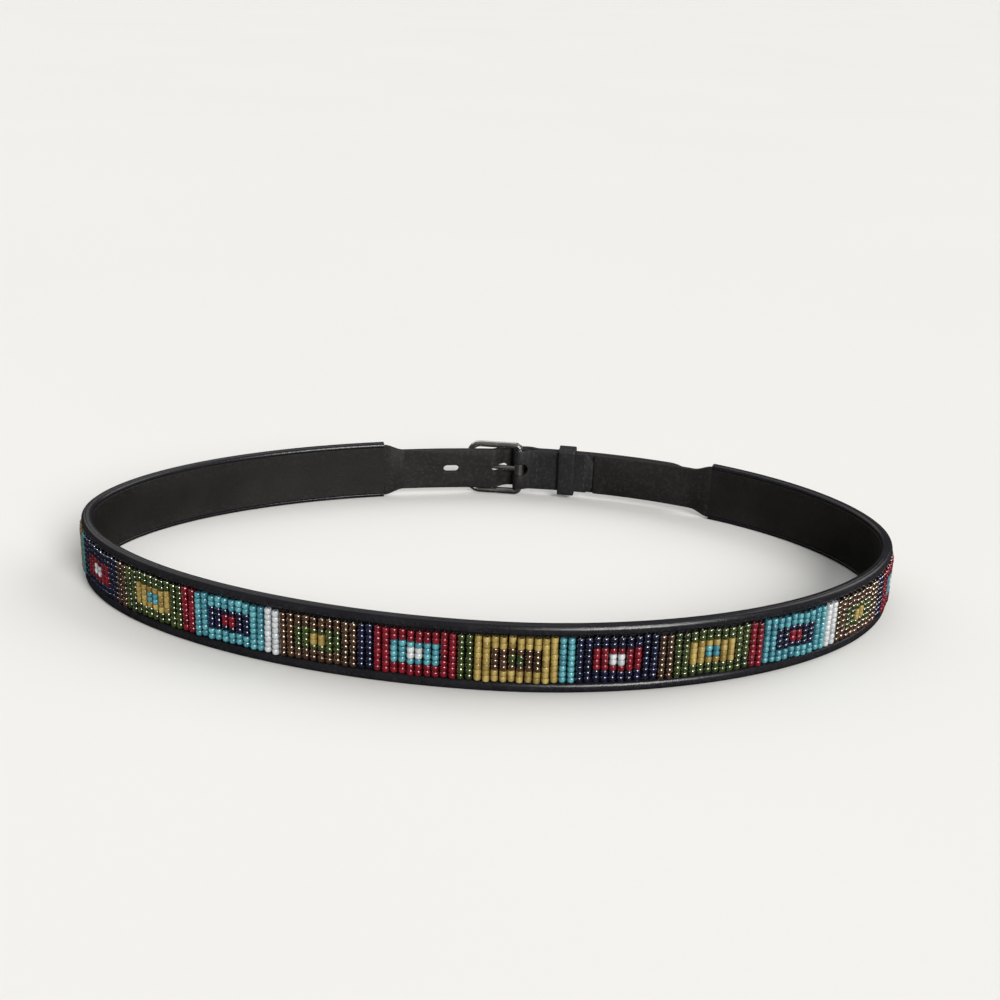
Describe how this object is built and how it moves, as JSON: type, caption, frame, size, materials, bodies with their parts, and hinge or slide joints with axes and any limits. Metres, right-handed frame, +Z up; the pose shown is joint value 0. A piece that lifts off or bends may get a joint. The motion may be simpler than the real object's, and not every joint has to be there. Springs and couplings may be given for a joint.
{
  "type": "beaded leather belt",
  "caption": "Fastened narrow leather belt with rolled edges and a field of seed beads in nested rectangles, closed by a plain wire buckle at the back.",
  "frame": {"origin": "under the middle of the belt's box, on the surface that its lower edge stands on", "axes": "+X towards the wearer's left hip in the picture's right, +Y from the worn front towards the buckle, +Z up"},
  "size_m": [0.3144, 0.1914, 0.0252],
  "materials": {
    "strap_leather": "smooth black leather with a fine grain, satin",
    "lining_leather": "dark brown-black lining leather, nearly matt",
    "binding_leather": "smooth black rolled leather, satin with a soft highlight along its crest",
    "glass_beads": "opaque, lined and metallic glass seed beads in turquoise, white, mustard, red, navy, green and copper brown",
    "buckle_metal": "plain steel wire, softly polished"
  },
  "bodies": {
    "root": {"strap": "strap_leather", "lining": "lining_leather", "upper_binding": "binding_leather", "lower_binding": "binding_leather", "bead_field": "glass_beads", "buckle": "buckle_metal", "keeper": "strap_leather"}
  },
  "joints": []
}
